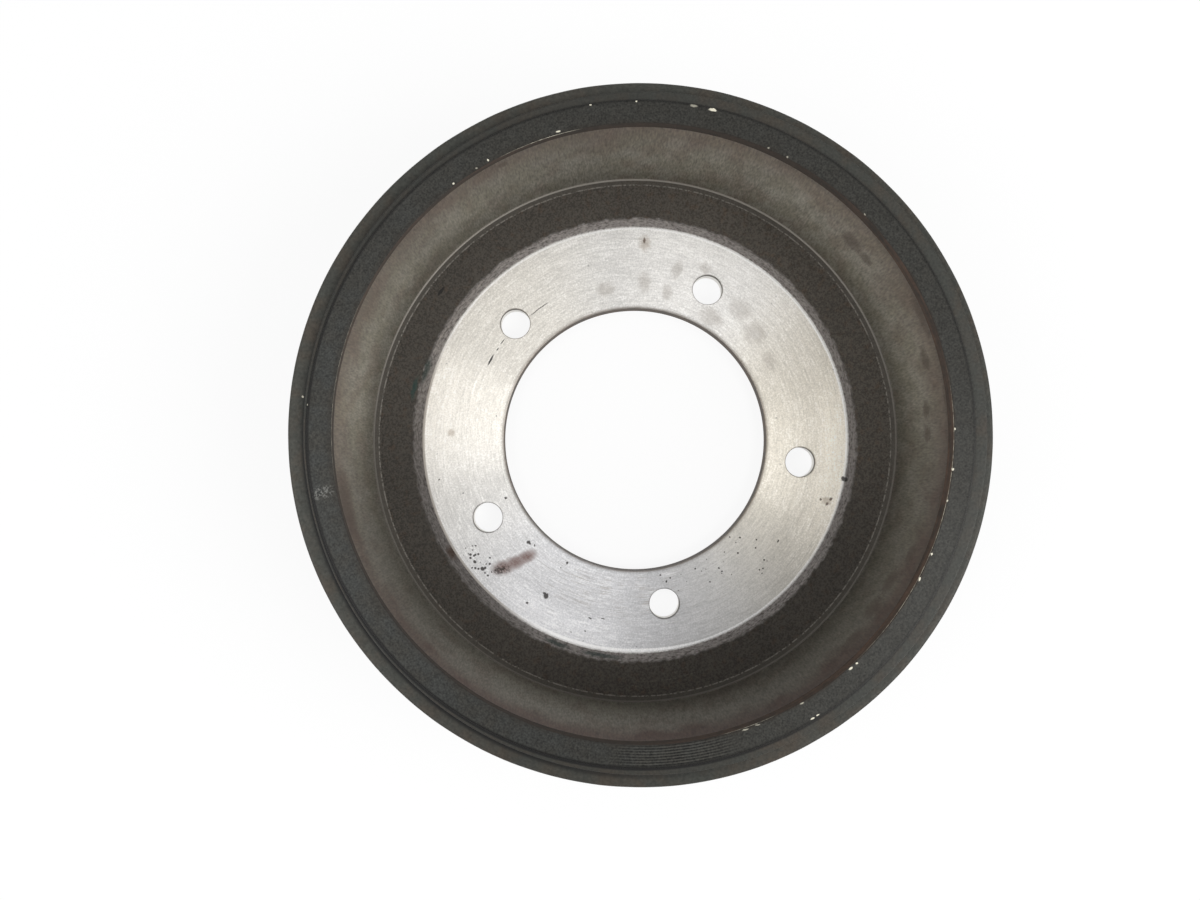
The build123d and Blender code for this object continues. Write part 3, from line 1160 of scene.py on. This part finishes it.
def ironFinish(name, paint, look):
    material = bpy.data.materials.new("iron_" + name)
    startNodes(material)
    at = Surface(look)
    paint(at, look)
    bump = Wire.node("ShaderNodeBump", {}, {"Strength": 1.0, "Distance": mm, "Height": at.relief})
    surface = Wire.node("ShaderNodeBsdfPrincipled", {}, {
        "Base Color": at.colour, "Roughness": at.rough, "Metallic": at.metal, "Normal": bump,
        "Anisotropic": iron["anisotropic"].get(name, iron["anisotropic"]["other"]),
        "Anisotropic Rotation": iron["acrossMarks"]})
    Wire.node("ShaderNodeOutputMaterial", {}, {"Surface": surface}, out=None)
    print("finish", name, "wired:", len(Wire.tree.nodes), "nodes")
    return material


paints = {"cast": (castPaint, castLook), "wheelSeat": (wheelSeatPaint, wheelSeatLook),
          "floor": (floorPaint, floorLook), "seat": (seatPaint, seatLook), "bore": (borePaint, boreLook),
          "track": (trackPaint, trackLook), "mouth": (mouthPaint, mouthLook), "lip": (lipPaint, lipLook)}
finishes = {name: ironFinish(name, *paint) for name, paint in paints.items()}
shell = turnedDrum(drum, finishes)
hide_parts("brake_drum")
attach(shell, "root")
print("drum finished")


studio = {
    "floorSize": 6.0,
    "floorShift": 0.5,  # so that no edge inside the floor runs under the drum
    "floorTone": 0.8,
    "whiteShare": 0.88,  # how much of the floor's white stays under a shadow
    "sky": (0.99, 0.99, 1.0),
    "skyStrength": 0.65,
    "lampDistance": 1.5,
    # degrees round, degrees up, size in metres, watts
    "lamps": {"key": (-12, 46, 1.1, 15.6), "fill": (208, 48, 1.1, 7.2), "top": (150, 80, 1.0, 1.6)},
}


def whiteForEye():
    # 1 for what the camera, a mirror or glass sees, 0 for light on its way to a surface
    ray = Wire.node("ShaderNodeLightPath")
    return ray.part("Is Camera Ray").most(ray.part("Is Glossy Ray")).most(ray.part("Is Transmission Ray"))


def paleFloor(values):
    material = bpy.data.materials.new("pale_floor")
    startNodes(material)
    paper = Wire.node("ShaderNodeBsdfDiffuse", {}, {"Color": (*[values["floorTone"]] * 3, 1)})
    white = Wire.node("ShaderNodeEmission", {}, {"Color": (1, 1, 1, 1), "Strength": 1.0})
    seen = whiteForEye() * values["whiteShare"]
    mixed = Wire.node("ShaderNodeMixShader", {}, {0: seen, 1: paper, 2: white})
    # clear from below, so that the drum's underside can be looked at
    clear = Wire.node("ShaderNodeBsdfTransparent", {}, {"Color": (1, 1, 1, 1)})
    under = Wire.node("ShaderNodeNewGeometry").part("Backfacing")
    mixed = Wire.node("ShaderNodeMixShader", {}, {0: under, 1: mixed, 2: clear})
    Wire.node("ShaderNodeOutputMaterial", {}, {"Surface": mixed}, out=None)
    half = values["floorSize"] / 2
    left = values["floorShift"] - half
    right = values["floorShift"] + half
    mesh = bpy.data.meshes.new("floor")
    corner = [(left, -half, 0), (right, -half, 0), (right, half, 0), (left, half, 0)]
    mesh.from_pydata(corner, [], [(0, 1, 2, 3)])
    mesh.materials.append(material)
    placed("floor", mesh)


def studioLight(values):
    world = bpy.data.worlds.new("studio")
    bpy.context.scene.world = world
    startNodes(world)
    sky = Wire.node("ShaderNodeBackground", {},
                    {"Color": (*values["sky"], 1), "Strength": values["skyStrength"]})
    white = Wire.node("ShaderNodeBackground", {}, {"Color": (1, 1, 1, 1), "Strength": 1.0})
    seen = Wire.node("ShaderNodeLightPath").part("Is Camera Ray")
    mixed = Wire.node("ShaderNodeMixShader", {}, {0: seen, 1: sky, 2: white})
    Wire.node("ShaderNodeOutputWorld", {}, {"Surface": mixed}, out=None)

    for name, (around, up, width, power) in values["lamps"].items():
        light = bpy.data.lights.new(name, "AREA")
        light.shape = "DISK"
        light.size = width
        light.energy = power
        lamp = placed(name, light)
        toward = Vector((1, 0, 0))
        toward.rotate(Euler((0, -radians(up), radians(around))))
        lamp.matrix_world = (Matrix.Translation(toward * values["lampDistance"])
                             @ toward.to_track_quat("Z", "Y").to_matrix().to_4x4())


eye = {
    "aside": (-14.1 * mm, -17.6 * mm),  # from the drum's axis, along the view's sides
    "above": 403.5 * mm,  # over the lip
    "roll": 7.94,  # degrees the view is turned round the drum's axis
    "tiltX": 1.563,
    "tiltY": 0.067,
    "lens": 34.05,
    "sensor": 36,
    "nearest": 0.01,
}


def overheadCamera(values, lip):
    data = bpy.data.cameras.new("eye")
    data.lens = values["lens"]
    data.sensor_width = values["sensor"]
    data.clip_start = values["nearest"]
    camera = placed("eye", data)
    turn = Matrix.Rotation(radians(values["roll"]), 4, "Z")
    spot = Matrix.Translation((*values["aside"], lip + values["above"]))
    tiltX = Matrix.Rotation(radians(values["tiltX"]), 4, "X")
    tiltY = Matrix.Rotation(radians(values["tiltY"]), 4, "Y")
    camera.matrix_world = turn @ spot @ (tiltX @ tiltY)
    bpy.context.scene.camera = camera


paleFloor(studio)
studioLight(studio)
overheadCamera(eye, drum["lip"])
bpy.context.scene.view_settings.view_transform = "Standard"
print("studio set")
